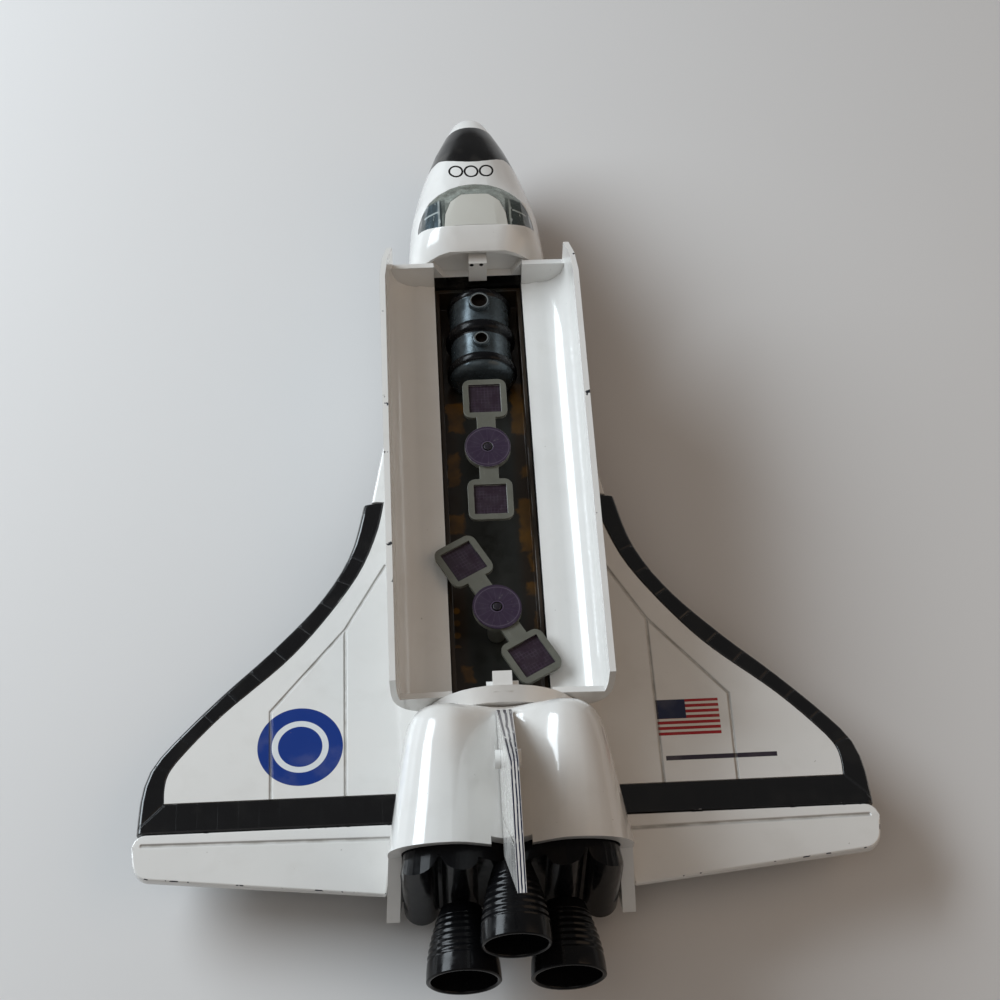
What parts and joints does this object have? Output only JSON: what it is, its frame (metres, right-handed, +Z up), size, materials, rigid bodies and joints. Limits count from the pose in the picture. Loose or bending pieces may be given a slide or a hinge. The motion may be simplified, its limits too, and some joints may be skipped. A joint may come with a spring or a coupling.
{
  "type": "toy space shuttle",
  "caption": "Die-cast toy space shuttle on free-turning wheels, with hinged payload doors that stand open over a bay with a lab module and turning satellites.",
  "frame": {"origin": "middle of the toy's footprint, on the floor that its wheels stand on", "axes": "+Y towards the nose, +X to the right wing, +Z up"},
  "size_m": [0.13, 0.192, 0.059],
  "materials": {
    "white_paint": "thick glossy white enamel on die-cast zinc",
    "black_paint": "glossy black enamel",
    "engine_plastic": "glossy black moulded plastic",
    "belly_plastic": "satin black moulded plastic",
    "wheel_plastic": "black moulded plastic",
    "clear_window": "clear moulded plastic with a faint green tint",
    "cream_plastic": "cream satin plastic",
    "bay_print": "dark brown plastic with printed ochre patches",
    "lab_plastic": "satin blue-grey plastic",
    "satellite_plastic": "warm grey plastic",
    "axle_steel": "plain steel wire"
  },
  "bodies": {
    "airframe": {"nose_body": "white_paint", "bay_side_left": "white_paint", "bay_side_right": "white_paint", "rear_bulkhead": "white_paint", "aft_cowl": "white_paint", "fin": "white_paint", "wing_panel_left": "white_paint", "wing_panel_right": "white_paint", "elevon_left": "white_paint", "elevon_right": "white_paint", "wing_band_left": "black_paint", "wing_band_right": "black_paint", "engine_block": "engine_plastic", "nozzle_lower_left": "engine_plastic", "nozzle_lower_right": "engine_plastic", "nozzle_upper": "engine_plastic", "belly_tray": "belly_plastic", "cockpit_glass": "clear_window", "cockpit_roof": "cream_plastic", "bay_tub": "bay_print", "lab_module": "lab_plastic", "satellite_peg_front": "satellite_plastic", "satellite_peg_rear": "satellite_plastic"},
    "door_left": {"door_left": "white_paint"},
    "door_right": {"door_right": "white_paint"},
    "satellite_front": {"satellite_front": "satellite_plastic"},
    "satellite_rear": {"satellite_rear": "satellite_plastic"},
    "nose_wheels": {"nose_axle": "axle_steel", "nose_wheel_left": "wheel_plastic", "nose_wheel_right": "wheel_plastic"},
    "main_wheels": {"main_axle": "axle_steel", "main_wheel_left": "wheel_plastic", "main_wheel_right": "wheel_plastic"}
  },
  "joints": [
    {"name": "door_left_hinge", "type": "hinge", "parent": "airframe", "child": "door_left", "pos_m": [-0.01075, 0.0014, 0.02255], "axis": [0, 1, 0], "range_deg": [0, 90]},
    {"name": "door_right_hinge", "type": "hinge", "parent": "airframe", "child": "door_right", "pos_m": [0.01075, 0.0014, 0.02255], "axis": [0, -1, 0], "range_deg": [0, 90]},
    {"name": "satellite_front_turn", "type": "hinge", "parent": "airframe", "child": "satellite_front", "pos_m": [0, 0.007, 0.0231], "axis": [0, 0, 1], "range_deg": [-29, 29]},
    {"name": "satellite_rear_turn", "type": "hinge", "parent": "airframe", "child": "satellite_rear", "pos_m": [0, -0.0278, 0.0231], "axis": [0, 0, 1], "range_deg": [-58, 0]},
    {"name": "nose_wheels_roll", "type": "hinge", "parent": "airframe", "child": "nose_wheels", "pos_m": [0, 0.046, 0.004], "axis": [1, 0, 0], "continuous": true},
    {"name": "main_wheels_roll", "type": "hinge", "parent": "airframe", "child": "main_wheels", "pos_m": [0, -0.044, 0.0046], "axis": [1, 0, 0], "continuous": true}
  ]
}
